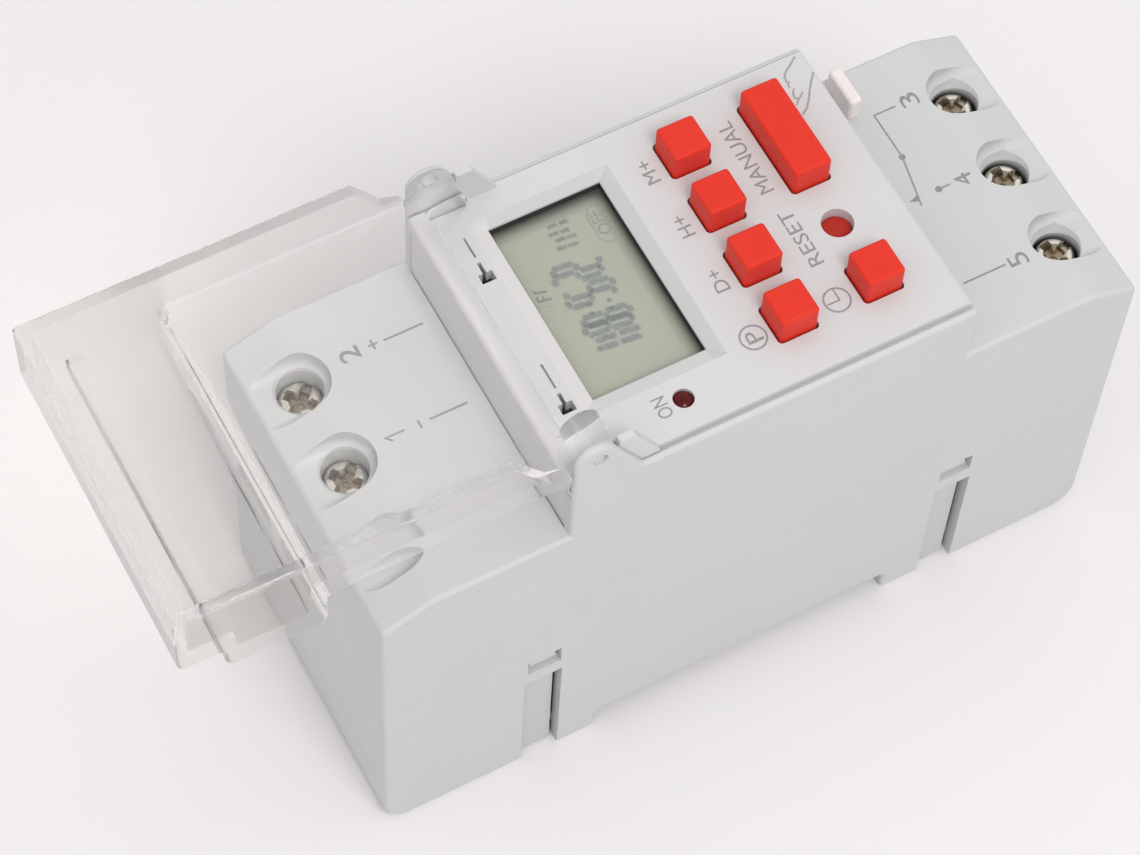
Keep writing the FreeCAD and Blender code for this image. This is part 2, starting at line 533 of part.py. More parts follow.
# ----------------------------------------------------------------- terminals
for n, x, y in TERMINALS:
    s = 1 if x > 0 else -1

    def bx(a, b, y0, y1, z0, z1):
        x0, x1 = sorted((s * a, s * b))
        return box(x0, x1, y + y0, y + y1, z0, z1)
    export("terminal_bar_%d" % n, fuse(bx(29.0, 41.2, -2.6, 2.6, BAR_Z0, BAR_Z1),
                                       bx(29.0, 30.2, -1.5, 1.5, 17.6, BAR_Z0 + 0.2)))
    cage = cut(bx(35.3, 41.7, -3.9, 3.9, CAGE_Z0, CAGE_Z1),
               bx(30, 45, -3.1, 3.1, CAGE_Z0 + 1.5, CAGE_Z1 - 1.6),
               cyl_z(x, y, CAGE_BORE_R, CAGE_Z1 - 3, CAGE_Z1 + 1))
    export("terminal_cage_%d" % n, cage)
    bottom = Z_WELL[s] + 0.05
    top = bottom + HEAD_H
    head = cyl_z(x, y, HEAD_R if s < 0 else 2.2, bottom, top)
    head = head.makeFillet(0.65, [e for e in head.Edges if e.BoundBox.ZMin > top - 0.05])
    recess = [
        frustum(x - 1.25, x + 1.25, y - 0.45, y + 0.45, top - 1.2, x - 1.75, x + 1.75, y - 0.62, y + 0.62, top + 0.01),
        frustum(x - 0.45, x + 0.45, y - 1.25, y + 1.25, top - 1.2, x - 0.62, x + 0.62, y - 1.75, y + 1.75, top + 0.01),
        box(x - 3.0, x + 3.0, y - 0.42, y + 0.42, top - 0.8, top + 1),
        Part.makeCone(0.35, 1.25, 1.35, V(x, y, top - 1.34), V(0, 0, 1)),
    ]
    rot = {1: 42, 2: 40, 3: 20, 4: 3, 5: 15}[n]
    tool = Part.makeCompound(recess)
    tool.rotate(V(x, y, 0), V(0, 0, 1), rot)
    screw = fuse(cut(head, tool), cyl_z(x, y, SHANK_R, SCREW_TIP, bottom + 0.25))
    export("terminal_screw_%d" % n, screw)

# --------------------------------------------------------------- flip cover
# Drawn closed, then turned 180 degrees about the hinge axis, because the
# stored position is fully open.
T = COVER_T
outer = [(-17.0, Z_CA), (X_CB0 - 0.1, Z_CA, 0.8), (X_CB0, Z_CB, 1.0), (X_CB1, Z_CB, 1.0),
         (X_CB1 + 0.1, Z_CE, 0.8), (X_CEND, Z_CE, 0.8), (X_CEND, Z_CRIM, 0.2), (-11.4, Z_CRIM),
         (-14.8, 61.3), (-17.0, 62.3)]
inner = [(-30.0, Z_CA - T), (X_CB0 + T - 0.1, Z_CA - T, 0.4), (X_CB0 + T, Z_CB - T, 0.6),
         (X_CB1 - T, Z_CB - T, 0.6), (X_CB1 - T + 0.1, Z_CE - T, 0.4), (X_CEND - T, Z_CE - T, 0.4),
         (X_CEND - T, Z_CRIM - 5), (-30.0, Z_CRIM - 5)]
shell = prism_y(outer, -HY, HY)
long_edges = [e for e in shell.Edges
              if e.BoundBox.YLength < 1e-4 and e.BoundBox.ZMin > Z_CRIM + 0.3 and e.BoundBox.XMin > -16.9]
try:
    shell = shell.makeFillet(0.4, long_edges)
except Exception as err:
    print("cover fillet left out:", err)
shell = cut(shell, prism_y(inner, -HY + T, HY - T))
# the roof's hinge edge, and at each end an arm, a knuckle and a pin
hinge = [prism_y([(-18.65, Z_CA, 0.5), (-16.0, Z_CA), (-16.0, Z_CA - T), (-18.65, Z_CA - T, 0.5)], -16.0, 16.0)]
for w in (-1, 1):
    y0, y1 = sorted((w * KNUCKLE_0, w * KNUCKLE_1))
    hinge.append(prism_y([(-20.1, HINGE_Z + KNUCKLE_R - 0.05), (-19.0, Z_CA), (-16.0, Z_CA), (-16.0, Z_CA - T),
                          (-17.6, Z_CA - T), (-18.7, HINGE_Z), (-20.1, HINGE_Z)], y0, y1))
    hinge.append(cyl_y(HINGE_X, HINGE_Z, KNUCKLE_R, y0, y1))
    y0, y1 = sorted((w * (KNUCKLE_1 - 0.1), w * 17.85))
    hinge.append(cyl_y(HINGE_X, HINGE_Z, PIN_R, y0, y1))
cover = fuse(shell, *hinge)
cover.rotate(V(HINGE_X, 0, HINGE_Z), V(0, 1, 0), 180)
export("flip_cover", cover)
print("done")
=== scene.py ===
import json
import math

import bmesh
import bpy
from mathutils import Matrix, Vector


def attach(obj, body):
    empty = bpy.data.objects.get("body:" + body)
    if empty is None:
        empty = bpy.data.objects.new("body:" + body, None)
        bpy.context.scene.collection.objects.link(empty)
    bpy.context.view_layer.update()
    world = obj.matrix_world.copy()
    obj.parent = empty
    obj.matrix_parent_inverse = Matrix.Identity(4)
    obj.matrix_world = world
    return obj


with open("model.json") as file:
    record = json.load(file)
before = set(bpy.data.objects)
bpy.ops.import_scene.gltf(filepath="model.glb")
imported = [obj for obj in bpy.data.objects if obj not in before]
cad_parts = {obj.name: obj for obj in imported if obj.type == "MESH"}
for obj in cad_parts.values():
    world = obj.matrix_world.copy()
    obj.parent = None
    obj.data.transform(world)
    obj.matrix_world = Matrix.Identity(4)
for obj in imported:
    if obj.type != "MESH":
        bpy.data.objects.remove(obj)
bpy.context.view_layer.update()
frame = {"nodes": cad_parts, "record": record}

nodes = frame["nodes"]
scene = bpy.context.scene
MM = 0.001
SEAT = 3.2           # the rail seat lies this far above the lowest feet; levels below are from the feet


def lvl(z):
    """A level measured up from the lowest point, in mm, as a height in the row frame, in metres."""
    return (z - SEAT) * MM


# ------------------------------------------------------------------ camera
cam = bpy.data.cameras.new("camera")
cam_ob = bpy.data.objects.new("camera", cam)
scene.collection.objects.link(cam_ob)
scene.camera = cam_ob
c = Vector((-0.1118516, -0.1611877, 0.3638053))
d = Vector((0.258277, 0.419973, -0.870009))
up = Vector((0.397906, 0.774382, 0.491938))
r = Vector((0.880320, -0.473238, 0.032895))
cam_ob.matrix_world = Matrix(((r.x, up.x, -d.x, c.x), (r.y, up.y, -d.y, c.y), (r.z, up.z, -d.z, c.z), (0, 0, 0, 1)))
cam.sensor_width = 36
cam.lens = 116.655
cam.clip_start = 0.01
cam.clip_end = 20

# ------------------------------------------------------------------ light
scene.view_settings.view_transform = "Standard"
scene.view_settings.look = "None"
scene.view_settings.exposure = 0
scene.view_settings.gamma = 1

world = bpy.data.worlds.new("studio")
scene.world = world
world.use_nodes = True
wn = world.node_tree
wn.nodes.clear()
w_out = wn.nodes.new("ShaderNodeOutputWorld")
w_bg = wn.nodes.new("ShaderNodeBackground")
w_tc = wn.nodes.new("ShaderNodeTexCoord")
w_dot = wn.nodes.new("ShaderNodeVectorMath")
w_dot.operation = "DOT_PRODUCT"
w_dot.inputs[1].default_value = (-0.25, -0.20, 0.93)
w_map = wn.nodes.new("ShaderNodeMapRange")
w_map.inputs["From Min"].default_value = -0.7
w_map.inputs["From Max"].default_value = 1.0
w_map.inputs["To Min"].default_value = 0.76
w_map.inputs["To Max"].default_value = 0.94
wn.links.new(w_tc.outputs["Generated"], w_dot.inputs[0])
wn.links.new(w_dot.outputs["Value"], w_map.inputs["Value"])
wn.links.new(w_map.outputs["Result"], w_bg.inputs["Strength"])
w_bg.inputs["Color"].default_value = (1.0, 1.0, 1.0, 1)
wn.links.new(w_bg.outputs[0], w_out.inputs["Surface"])


def area(name, loc, look, size, energy, tint=(1, 1, 1)):
    l = bpy.data.lights.new(name, "AREA")
    l.shape = "DISK"
    l.size = size
    l.energy = energy
    l.color = tint
    o = bpy.data.objects.new(name, l)
    scene.collection.objects.link(o)
    v = (Vector(look) - Vector(loc)).normalized()
    o.matrix_world = Matrix.Translation(loc) @ v.to_track_quat("-Z", "Y").to_matrix().to_4x4()
    return o


# one soft lamp high up in front of the near side, so the shadow falls behind the object
area("softbox_key", (-0.03, -0.45, 0.75), (0, 0, 0.03), 0.34, 2.9)


# ------------------------------------------------------------------ materials
def sock(node, *names):
    for n in names:
        if n in node.inputs:
            return node.inputs[n]
    return None


def base(name):
    m = bpy.data.materials.new(name)
    m.use_nodes = True
    nt = m.node_tree
    nt.nodes.clear()
    out = nt.nodes.new("ShaderNodeOutputMaterial")
    b = nt.nodes.new("ShaderNodeBsdfPrincipled")
    nt.links.new(b.outputs["BSDF"], out.inputs["Surface"])
    tc = nt.nodes.new("ShaderNodeTexCoord")
    return m, nt, b, tc


def noise(nt, tc, scale, detail=2.0, rough=0.5, stretch=None, distort=0.0):
    n = nt.nodes.new("ShaderNodeTexNoise")
    n.inputs["Scale"].default_value = scale
    n.inputs["Detail"].default_value = detail
    n.inputs["Roughness"].default_value = rough
    n.inputs["Distortion"].default_value = distort
    if stretch:
        mp = nt.nodes.new("ShaderNodeMapping")
        mp.inputs["Scale"].default_value = stretch
        nt.links.new(tc.outputs["Object"], mp.inputs["Vector"])
        nt.links.new(mp.outputs["Vector"], n.inputs["Vector"])
    else:
        nt.links.new(tc.outputs["Object"], n.inputs["Vector"])
    return n.outputs["Fac"]


def ramp(nt, fac, stops):
    r_ = nt.nodes.new("ShaderNodeValToRGB")
    e = r_.color_ramp.elements
    e[0].position, e[0].color = stops[0][0], (*stops[0][1], 1)
    e[1].position, e[1].color = stops[-1][0], (*stops[-1][1], 1)
    for p, col in stops[1:-1]:
        x = e.new(p)
        x.color = (*col, 1)
    nt.links.new(fac, r_.inputs["Fac"])
    return r_.outputs["Color"]


def remap(nt, fac, lo, hi, a=0.3, b=0.7):
    m = nt.nodes.new("ShaderNodeMapRange")
    m.inputs["From Min"].default_value = a
    m.inputs["From Max"].default_value = b
    m.inputs["To Min"].default_value = lo
    m.inputs["To Max"].default_value = hi
    nt.links.new(fac, m.inputs["Value"])
    return m.outputs["Result"]


def math_node(nt, op, a, b=None):
    m = nt.nodes.new("ShaderNodeMath")
    m.operation = op
    for i, x in enumerate((a, b)):
        if x is None:
            continue
        if isinstance(x, (int, float)):
            m.inputs[i].default_value = x
        else:
            nt.links.new(x, m.inputs[i])
    return m.outputs["Value"]


def mul(nt, col_a, col_b, fac=1.0):
    m = nt.nodes.new("ShaderNodeMix")
    m.data_type = "RGBA"
    m.blend_type = "MULTIPLY"
    m.inputs["Factor"].default_value = fac
    nt.links.new(col_a, m.inputs["A"])
    nt.links.new(col_b, m.inputs["B"])
    return m.outputs["Result"]


def bump(nt, b, height, strength, dist, prev=None):
    n = nt.nodes.new("ShaderNodeBump")
    n.inputs["Strength"].default_value = strength
    n.inputs["Distance"].default_value = dist
    nt.links.new(height, n.inputs["Height"])
    if prev is not None:
        nt.links.new(prev, n.inputs["Normal"])
    nt.links.new(n.outputs["Normal"], b.inputs["Normal"])
    return n.outputs["Normal"]


def shade(rgb, k):
    return tuple(min(1.0, max(0.0, v * k)) for v in rgb)


def plastic(name, rgb, rough=0.42, spec=0.5, var=0.03, grain=0.10, flow=0.03, coat=0.0, sss=0.0):
    """Moulded plastic: faint flow marks, spark-eroded grain, a few rubbed spots in the gloss."""
    m, nt, b, tc = base(name)
    big = noise(nt, tc, 70, 3, 0.55)
    fine = noise(nt, tc, 5200, 2, 0.6)
    mid = noise(nt, tc, 900, 3, 0.55)
    rub = noise(nt, tc, 240, 4, 0.6, distort=0.6)
    c1 = ramp(nt, big, [(0.30, shade(rgb, 1 - var)), (0.72, shade(rgb, 1 + var))])
    speck = ramp(nt, fine, [(0.25, (1 - var, 1 - var, 1 - var)), (0.55, (1, 1, 1))])
    nt.links.new(mul(nt, c1, speck), b.inputs["Base Color"])
    rr = remap(nt, rub, rough - 0.06, rough + 0.08)
    nt.links.new(rr, b.inputs["Roughness"])
    b.inputs["Specular IOR Level"].default_value = spec
    if coat:
        b.inputs["Coat Weight"].default_value = coat
        b.inputs["Coat Roughness"].default_value = 0.08
    if sss:
        b.inputs["Subsurface Weight"].default_value = sss
        b.inputs["Subsurface Radius"].default_value = (1.0, 0.9, 0.8)
        b.inputs["Subsurface Scale"].default_value = 0.0006
    n1 = bump(nt, b, mid, flow, 0.00004)
    bump(nt, b, fine, grain, 0.00003, n1)
    return m


def metal(name, rgb, dark, rough=0.28, spots=0.5, brushed=None, grain=0.08):
    """Plated or bare metal: cloudy plating, fine scratches, a duller tone where it has tarnished."""
    m, nt, b, tc = base(name)
    b.inputs["Metallic"].default_value = 1.0
    cloud = noise(nt, tc, 900, 4, 0.6)
    scr = noise(nt, tc, 3500, 3, 0.6, stretch=brushed or (1, 1, 1))
    c1 = ramp(nt, cloud, [(0.35, dark), (0.35 + 0.25 * spots, rgb), (0.9, shade(rgb, 1.06))])
    nt.links.new(c1, b.inputs["Base Color"])
    nt.links.new(remap(nt, scr, rough - 0.08, rough + 0.14), b.inputs["Roughness"])
    n1 = bump(nt, b, cloud, 0.04, 0.00004)
    bump(nt, b, scr, grain, 0.00002, n1)
    return m


HOUSING = (0.540, 0.544, 0.541)
PANEL = (0.580, 0.575, 0.577)
M = {}
M["housing_plastic"] = plastic("housing_plastic", HOUSING, 0.50, 0.35, 0.012, 0.09)
M["panel_plastic"] = plastic("panel_plastic", PANEL, 0.46, 0.35, 0.014, 0.12)


def zone(m, lo, hi, soft, tone):
    """Another tone of the same plastic inside a box (metres) with soft sides."""
    nt = m.node_tree
    b = [n for n in nt.nodes if n.type == "BSDF_PRINCIPLED"][0]
    src = b.inputs["Base Color"].links[0].from_socket
    tc = nt.nodes.new("ShaderNodeTexCoord")
    sep = nt.nodes.new("ShaderNodeSeparateXYZ")
    nt.links.new(tc.outputs["Object"], sep.inputs["Vector"])
    mask = None
    for i, ax in enumerate("XYZ"):
        up_ = remap(nt, sep.outputs[ax], 0.0, 1.0, lo[i] - soft[i], lo[i])
        dn_ = remap(nt, sep.outputs[ax], 1.0, 0.0, hi[i], hi[i] + soft[i])
        both = math_node(nt, "MULTIPLY", up_, dn_)
        mask = both if mask is None else math_node(nt, "MULTIPLY", mask, both)
    mx = nt.nodes.new("ShaderNodeMix")
    mx.data_type = "RGBA"
    mx.blend_type = "MIX"
    nt.links.new(mask, mx.inputs["Factor"])
    nt.links.new(src, mx.inputs["A"])
    mx.inputs["B"].default_value = (*tone, 1)
    nt.links.new(mx.outputs["Result"], b.inputs["Base Color"])


# the nub on the right shoulder is pinker than the rest of the moulding, and it is also painted much lighter: painted
# light that lifts the shade on its sides
zone(M["housing_plastic"], (0.0260, 0.0120, lvl(47.8)), (0.0282, 0.0172, lvl(51.0)), (0.0002, 0.0002, 0.0003), (0.780, 0.705, 0.696))
# painted highlight: the bevel on the hinge side of the display window is given a lighter tone in place of the glint it
# catches
zone(M["panel_plastic"], (-0.01790, -0.0104, lvl(54.90)), (-0.0158, 0.0132, lvl(56.33)), (0.0001, 0.0007, 0.00006), (0.665, 0.650, 0.647))
# dirt and shade low in the three wells on the right shoulder
zone(M["housing_plastic"], (0.0359, -0.0129, lvl(41.0)), (0.0411, 0.0129, lvl(43.4)), (0.0001, 0.0001, 0.0009), (0.085, 0.078, 0.070))
# the lower chamfer of the display window catches more light
zone(M["panel_plastic"], (-0.0158, -0.0110, lvl(54.90)), (-0.0036, -0.0092, lvl(56.33)), (0.0003, 0.0001, 0.00006), (0.650, 0.646, 0.648))
M["base_plastic"] = plastic("base_plastic", shade(HOUSING, 0.98), 0.52, 0.35, 0.016, 0.10)
M["key_red"] = plastic("key_red", (0.680, 0.033, 0.018), 0.46, 0.18, 0.04, 0.12)
# the reset key sits in the shade of its own hole
zone(M["key_red"], (0.0136, -0.0045, lvl(50.0)), (0.0170, -0.0011, lvl(55.6)), (0.00005, 0.00005, 0.0001), (0.430, 0.026, 0.015))
M["lcd_holder_plastic"] = plastic("lcd_holder_plastic", (0.30, 0.30, 0.29), 0.5, 0.3, 0.03, 0.1)
M["switch_black"] = plastic("switch_black", (0.018, 0.018, 0.019), 0.42, 0.4, 0.1, 0.1)
M["chip_black"] = plastic("chip_black", (0.012, 0.012, 0.013), 0.55, 0.4, 0.15, 0.25)
M["header_black"] = plastic("header_black", (0.014, 0.014, 0.015), 0.45, 0.4, 0.1, 0.1)
M["capacitor_sleeve"] = plastic("capacitor_sleeve", (0.012, 0.020, 0.055), 0.30, 0.5, 0.08, 0.04)
M["resistor_coat"] = plastic("resistor_coat", (0.10, 0.25, 0.30), 0.40, 0.5, 0.12, 0.14)
M["varistor_coat"] = plastic("varistor_coat", (0.02, 0.06, 0.22), 0.38, 0.5, 0.12, 0.16)
M["relay_plastic"] = plastic("relay_plastic", (0.030, 0.055, 0.110), 0.34, 0.5, 0.06, 0.06)
M["bar_brass"] = metal("bar_brass", (0.78, 0.58, 0.26), (0.45, 0.30, 0.12), 0.30, 0.6)
M["contact_brass"] = metal("contact_brass", (0.80, 0.56, 0.30), (0.42, 0.28, 0.12), 0.26, 0.6)
M["clamp_steel"] = metal("clamp_steel", (0.66, 0.65, 0.62), (0.38, 0.36, 0.33), 0.34, 0.5)
M["screw_steel"] = metal("screw_steel", (0.70, 0.69, 0.66), (0.40, 0.38, 0.35), 0.30, 0.5)
M["tin"] = metal("tin", (0.72, 0.72, 0.72), (0.48, 0.48, 0.48), 0.36, 0.5)
M["cell_steel"] = metal("cell_steel", (0.70, 0.70, 0.68), (0.50, 0.50, 0.48), 0.24, 0.4, brushed=(0.15, 3, 1))
M["spring_steel"] = metal("spring_steel", (0.62, 0.61, 0.58), (0.36, 0.35, 0.33), 0.28, 0.5)
M["relay_iron"] = metal("relay_iron", (0.58, 0.57, 0.55), (0.34, 0.32, 0.30), 0.38, 0.5)


def mat_screw():
    """Nickel-plated clamp screw: bright faces, darkening to brown deep in the slot and round the shank, painted shade
    there tinted brown like dirt and oxide.
    """
    m, nt, b, tc = base("terminal_screw_steel")
    b.inputs["Metallic"].default_value = 1.0
    sep = nt.nodes.new("ShaderNodeSeparateXYZ")
    nt.links.new(tc.outputs["Object"], sep.inputs["Vector"])
    cloud = noise(nt, tc, 1400, 4, 0.6, distort=0.4)
    scr = noise(nt, tc, 6000, 3, 0.65)
    # the three heads on the +X shoulder sit one millimetre higher than the two on the -X shoulder
    lift = math_node(nt, "MULTIPLY", math_node(nt, "GREATER_THAN", sep.outputs["X"], 0.0), 0.001)
    # painted shade: darker with depth below the top of the head, standing in for the shade in the slot and round the
    # shank
    depth_shade = remap(nt, math_node(nt, "SUBTRACT", sep.outputs["Z"], lift), 0.0, 1.0, lvl(41.7), lvl(43.0))
    mixed = math_node(nt, "ADD", math_node(nt, "MULTIPLY", depth_shade, 0.78), math_node(nt, "MULTIPLY", cloud, 0.22))
    col = ramp(nt, mixed, [(0.08, (0.060, 0.045, 0.034)), (0.22, (0.30, 0.24, 0.17)), (0.52, (0.46, 0.39, 0.30)), (0.78, (0.66, 0.61, 0.53)), (0.95, (0.90, 0.86, 0.80))])
    # painted shade: the rim of each head is darkened nearly to black in place of the shadow in the gap round it; its
    # distance is from the screw's own axis
    dx = math_node(nt, "SUBTRACT", math_node(nt, "ABSOLUTE", sep.outputs["X"]), 0.0385)
    row = math_node(nt, "MULTIPLY", math_node(nt, "ROUND", math_node(nt, "DIVIDE", sep.outputs["Y"], 0.0102)), 0.0102)
    dy = math_node(nt, "SUBTRACT", sep.outputs["Y"], row)
    rad = math_node(nt, "SQRT", math_node(nt, "ADD", math_node(nt, "MULTIPLY", dx, dx), math_node(nt, "MULTIPLY", dy, dy)))
    rim = math_node(nt, "ADD", rad, math_node(nt, "MULTIPLY", lift, 0.22))
    rim_shade = ramp(nt, remap(nt, rim, 1.0, 0.0, 0.00198, 0.00232), [(0.0, (0.14, 0.12, 0.10)), (1.0, (1, 1, 1))])
    nt.links.new(mul(nt, col, rim_shade), b.inputs["Base Color"])
    nt.links.new(remap(nt, scr, 0.20, 0.40), b.inputs["Roughness"])
    n1 = bump(nt, b, cloud, 0.10, 0.00005)
    bump(nt, b, scr, 0.10, 0.00002, n1)
    return m


M["terminal_screw_steel"] = mat_screw()


def mat_clear():
    """Clear moulded cover: a faint warm tint, slightly wavy faces, hairline scuffs in the gloss, glossy skin."""
    m, nt, b, tc = base("clear_plastic")
    wave = noise(nt, tc, 55, 2, 0.5)
    scuff = noise(nt, tc, 1500, 4, 0.7, stretch=(1, 0.12, 1))
    tint = noise(nt, tc, 40, 2, 0.5)
    nt.links.new(ramp(nt, tint, [(0.3, (0.888, 0.878, 0.875)), (0.7, (0.908, 0.899, 0.896))]), b.inputs["Base Color"])
    b.inputs["Transmission Weight"].default_value = 0.97
    b.inputs["IOR"].default_value = 1.09
    nt.links.new(remap(nt, scuff, 0.015, 0.05, 0.45, 0.75), b.inputs["Roughness"])
    b.inputs["Coat Weight"].default_value = 0.25
    b.inputs["Coat Roughness"].default_value = 0.05
    b.inputs["Coat IOR"].default_value = 1.55
    n1 = bump(nt, b, wave, 0.05, 0.0002)
    n2 = bump(nt, b, scuff, 0.02, 0.00001, n1)
    nt.links.new(n2, b.inputs["Coat Normal"])
    out = [n for n in nt.nodes if n.type == "OUTPUT_MATERIAL"][0]
    lp = nt.nodes.new("ShaderNodeLightPath")
    tr = nt.nodes.new("ShaderNodeBsdfTransparent")
    tr.inputs["Color"].default_value = (0.84, 0.834, 0.831, 1)
    mx = nt.nodes.new("ShaderNodeMixShader")
    nt.links.new(lp.outputs["Is Shadow Ray"], mx.inputs["Fac"])
    nt.links.new(b.outputs["BSDF"], mx.inputs[1])
    nt.links.new(tr.outputs["BSDF"], mx.inputs[2])
    nt.links.new(mx.outputs["Shader"], out.inputs["Surface"])
    return m


M["clear_plastic"] = mat_clear()
# painted shade: the deep end of the tray is given a darker tint, which darkens the brighter floor seen through it
zone(M["clear_plastic"], (-0.0660, -0.0190, 0.0), (-0.0492, 0.0190, 0.0800), (0.0001, 0.0001, 0.0001), (0.822, 0.810, 0.807))


def mat_lcd():
    """Reflective display: grey-green rear film under a glossy front polariser, with the faint mottling of the reflector."""
    m, nt, b, tc = base("lcd_glass")
    big = noise(nt, tc, 60, 2, 0.5)
    fine = noise(nt, tc, 2600, 3, 0.6)
    c1 = ramp(nt, big, [(0.3, (0.356, 0.371, 0.297)), (0.7, (0.380, 0.393, 0.318))])
    c2 = ramp(nt, fine, [(0.3, (0.97, 0.97, 0.97)), (0.7, (1, 1, 1))])
    # painted shade and painted reflection: the display darkens towards the window's edges in place of the shadow and
    # reflection of the window walls and dark frame
    sep = nt.nodes.new("ShaderNodeSeparateXYZ")
    nt.links.new(tc.outputs["Object"], sep.inputs["Vector"])
    far_side = remap(nt, sep.outputs["Y"], 1.0, 0.0, 0.0113, 0.0131)
    right_side = remap(nt, sep.outputs["X"], 1.0, 0.0, -0.0048, -0.0031)
    near_side = remap(nt, sep.outputs["Y"], 0.0, 1.0, -0.0102, -0.0090)
    left_side = remap(nt, sep.outputs["X"], 0.0, 1.0, -0.0160, -0.0152)
    inner = math_node(nt, "MULTIPLY", math_node(nt, "MULTIPLY", far_side, right_side), math_node(nt, "MULTIPLY", near_side, left_side))
    edge_shade = ramp(nt, inner, [(0.0, (0.22, 0.22, 0.23)), (0.14, (0.40, 0.39, 0.40)), (0.50, (0.72, 0.71, 0.72)), (1.0, (1, 1, 1))])
    nt.links.new(mul(nt, mul(nt, c1, c2), edge_shade), b.inputs["Base Color"])
    nt.links.new(remap(nt, fine, 0.30, 0.42), b.inputs["Roughness"])
    b.inputs["Specular IOR Level"].default_value = 0.35
    b.inputs["Coat Weight"].default_value = 0.6
    b.inputs["Coat Roughness"].default_value = 0.12
    bump(nt, b, fine, 0.03, 0.00001)
    return m


M["lcd_glass"] = mat_lcd()


def mat_led():
    """Unlit diffused red lamp: deep wine-coloured lens with a glossy skin."""
    m, nt, b, tc = base("led_red")
    big = noise(nt, tc, 900, 2, 0.5)
    nt.links.new(ramp(nt, big, [(0.3, (0.060, 0.0020, 0.0030)), (0.7, (0.110, 0.0040, 0.0055))]), b.inputs["Base Color"])
    nt.links.new(remap(nt, big, 0.14, 0.22), b.inputs["Roughness"])
    b.inputs["Specular IOR Level"].default_value = 0.16
    b.inputs["Coat Weight"].default_value = 0.08
    b.inputs["Coat Roughness"].default_value = 0.05
    bump(nt, b, big, 0.05, 0.00003)
    return m


M["led_red"] = mat_led()


def mat_rubber(name, rgb, rough=0.7):
    m, nt, b, tc = base(name)
    fine = noise(nt, tc, 4200, 3, 0.65)
    big = noise(nt, tc, 200, 2, 0.5)
    nt.links.new(ramp(nt, big, [(0.3, shade(rgb, 0.85)), (0.7, shade(rgb, 1.15))]), b.inputs["Base Color"])
    nt.links.new(remap(nt, fine, rough - 0.08, rough + 0.1), b.inputs["Roughness"])
    b.inputs["Specular IOR Level"].default_value = 0.3
    bump(nt, b, fine, 0.15, 0.00004)
    return m


M["gasket_black"] = mat_rubber("gasket_black", (0.035, 0.035, 0.036))


def stripes(nt, tc, axis, period, sharp=0.15):
    """0..1 bands along one object axis, period in metres."""
    sep = nt.nodes.new("ShaderNodeSeparateXYZ")
    nt.links.new(tc.outputs["Object"], sep.inputs["Vector"])
    t = math_node(nt, "FRACT", math_node(nt, "DIVIDE", sep.outputs[axis], period))
    tri = math_node(nt, "ABSOLUTE", math_node(nt, "SUBTRACT", math_node(nt, "MULTIPLY", t, 2.0), 1.0))
    return remap(nt, tri, 0.0, 1.0, 0.5 - sharp, 0.5 + sharp)


def mat_zebra():
    """Elastomer connector: pink silicone with close black conductive layers."""
    m, nt, b, tc = base("zebra_rubber")
    s = stripes(nt, tc, "Y", 0.00018, 0.25)
    nt.links.new(ramp(nt, s, [(0.2, (0.015, 0.014, 0.014)), (0.8, (0.55, 0.22, 0.22))]), b.inputs["Base Color"])
    fine = noise(nt, tc, 3000, 2, 0.6)
    nt.links.new(remap(nt, fine, 0.5, 0.7), b.inputs["Roughness"])
    bump(nt, b, s, 0.1, 0.00002)
    return m


M["zebra_rubber"] = mat_zebra()


def mat_board():
    """Circuit board: green solder mask over faint copper tracks and the weave of the laminate."""
    m, nt, b, tc = base("board_green")
    br = nt.nodes.new("ShaderNodeTexBrick")
    br.offset = 0.37
    br.inputs["Scale"].default_value = 260
    br.inputs["Mortar Size"].default_value = 0.055
    br.inputs["Mortar Smooth"].default_value = 0.2
    br.inputs["Color1"].default_value = (0.012, 0.085, 0.030, 1)
    br.inputs["Color2"].default_value = (0.014, 0.098, 0.036, 1)
    br.inputs["Mortar"].default_value = (0.055, 0.200, 0.075, 1)
    nt.links.new(tc.outputs["Object"], br.inputs["Vector"])
    weave = noise(nt, tc, 3600, 2, 0.5)
    tone = ramp(nt, weave, [(0.3, (0.86, 0.86, 0.86)), (0.7, (1, 1, 1))])
    nt.links.new(mul(nt, br.outputs["Color"], tone), b.inputs["Base Color"])
    nt.links.new(remap(nt, weave, 0.28, 0.42), b.inputs["Roughness"])
    n1 = bump(nt, b, br.outputs["Fac"], 0.15, 0.00004)
    bump(nt, b, weave, 0.06, 0.00002, n1)
    return m


M["board_green"] = mat_board()


def mat_coil():
    """Relay winding: close turns of enamelled copper wire."""
    m, nt, b, tc = base("coil_wrap")
    s = stripes(nt, tc, "Z", 0.00020, 0.45)
    n = noise(nt, tc, 700, 3, 0.6)
    c1 = ramp(nt, s, [(0.1, (0.16, 0.045, 0.012)), (0.9, (0.62, 0.24, 0.08))])
    c2 = ramp(nt, n, [(0.3, (0.85, 0.85, 0.85)), (0.7, (1, 1, 1))])
    nt.links.new(mul(nt, c1, c2), b.inputs["Base Color"])
    b.inputs["Metallic"].default_value = 0.6
    nt.links.new(remap(nt, n, 0.25, 0.4), b.inputs["Roughness"])
    bump(nt, b, s, 0.6, 0.00006)
    return m


M["coil_wrap"] = mat_coil()


def mat_ink(name, rgb, rough=0.5):
    """Pad-printed ink: slightly uneven cover, matt, with pinholes."""
    m, nt, b, tc = base(name)
    n = noise(nt, tc, 2600, 3, 0.65)
    fine = noise(nt, tc, 8000, 2, 0.6)
    nt.links.new(ramp(nt, n, [(0.32, shade(rgb, 1.22)), (0.58, rgb), (0.9, shade(rgb, 0.9))]), b.inputs["Base Color"])
    nt.links.new(remap(nt, fine, rough - 0.06, rough + 0.08), b.inputs["Roughness"])
    b.inputs["Specular IOR Level"].default_value = 0.3
    bump(nt, b, fine, 0.08, 0.00001)
    return m


